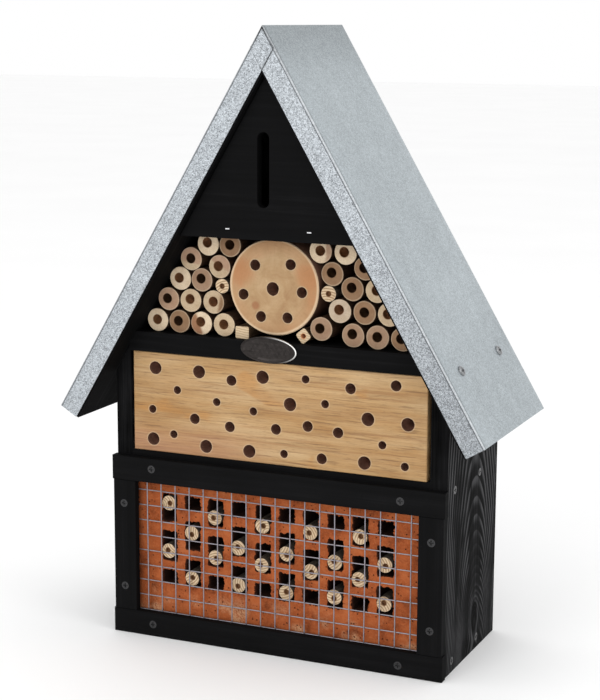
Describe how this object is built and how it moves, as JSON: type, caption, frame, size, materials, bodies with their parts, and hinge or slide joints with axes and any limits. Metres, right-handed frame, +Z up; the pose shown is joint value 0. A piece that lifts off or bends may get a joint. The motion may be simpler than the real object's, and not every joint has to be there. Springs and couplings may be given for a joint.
{
  "type": "insect hotel",
  "caption": "House-shaped insect hotel: black timber case under a folded metal roof, with a wired brick, a drilled block, bored sticks round a log slice and a slotted gable",
  "frame": {"origin": "centre of the overall bounding box's base: under the middle of the roof, on the ground plane", "axes": "+X to the right seen from the front, +Y from the front to the back, +Z up; the wire mesh and the slotted gable face -Y"},
  "size_m": [0.358, 0.1536, 0.494],
  "materials": {
    "wood_upright": "softwood, black water-based stain, grain upright",
    "wood_level": "softwood, black water-based stain, grain level",
    "wood_roof": "softwood, black water-based stain, grain down the slope",
    "galvanised_sheet": "hot-dip galvanised, fine spangle",
    "mesh_wire": "galvanised welded wire",
    "block_wood": "planed pine, unfinished",
    "fired_clay": "fired clay, unglazed, sandy",
    "stick_wood": "peeled sticks with sawn ends",
    "tube_wood": "bored sticks, sawn ends, dark bark",
    "log_wood": "bored log slice, sawn end",
    "dark_screw": "blackened steel screws",
    "zinc_steel": "zinc-plated steel",
    "plaque_metal": "dark pewter, satin"
  },
  "bodies": {
    "root": {"left_wall": "wood_upright", "right_wall": "wood_upright", "frame_left_stile": "wood_upright", "frame_right_stile": "wood_upright", "back_panel": "wood_upright", "floor_board": "wood_level", "lower_shelf": "wood_level", "middle_shelf": "wood_level", "upper_shelf": "wood_level", "gable_panel": "wood_level", "frame_top_rail": "wood_level", "frame_bottom_rail": "wood_level", "left_roof_board": "wood_roof", "right_roof_board": "wood_roof", "roof_sheet": "galvanised_sheet", "mesh_upright_wires": "mesh_wire", "mesh_level_wires": "mesh_wire", "drilled_block": "block_wood", "brick": "fired_clay", "brick_sticks": "stick_wood", "small_sticks": "stick_wood", "log_wedges": "stick_wood", "left_tubes": "tube_wood", "right_tubes": "tube_wood", "drilled_log": "log_wood", "frame_screws": "dark_screw", "wall_screws": "dark_screw", "roof_screws": "zinc_steel", "gable_staples": "zinc_steel", "mesh_staples": "zinc_steel", "ridge_nails": "zinc_steel", "shelf_nails": "zinc_steel", "back_pins": "zinc_steel", "hanger_screws": "zinc_steel", "left_hanger_plate": "zinc_steel", "right_hanger_plate": "zinc_steel", "plaque": "plaque_metal"}
  },
  "joints": []
}
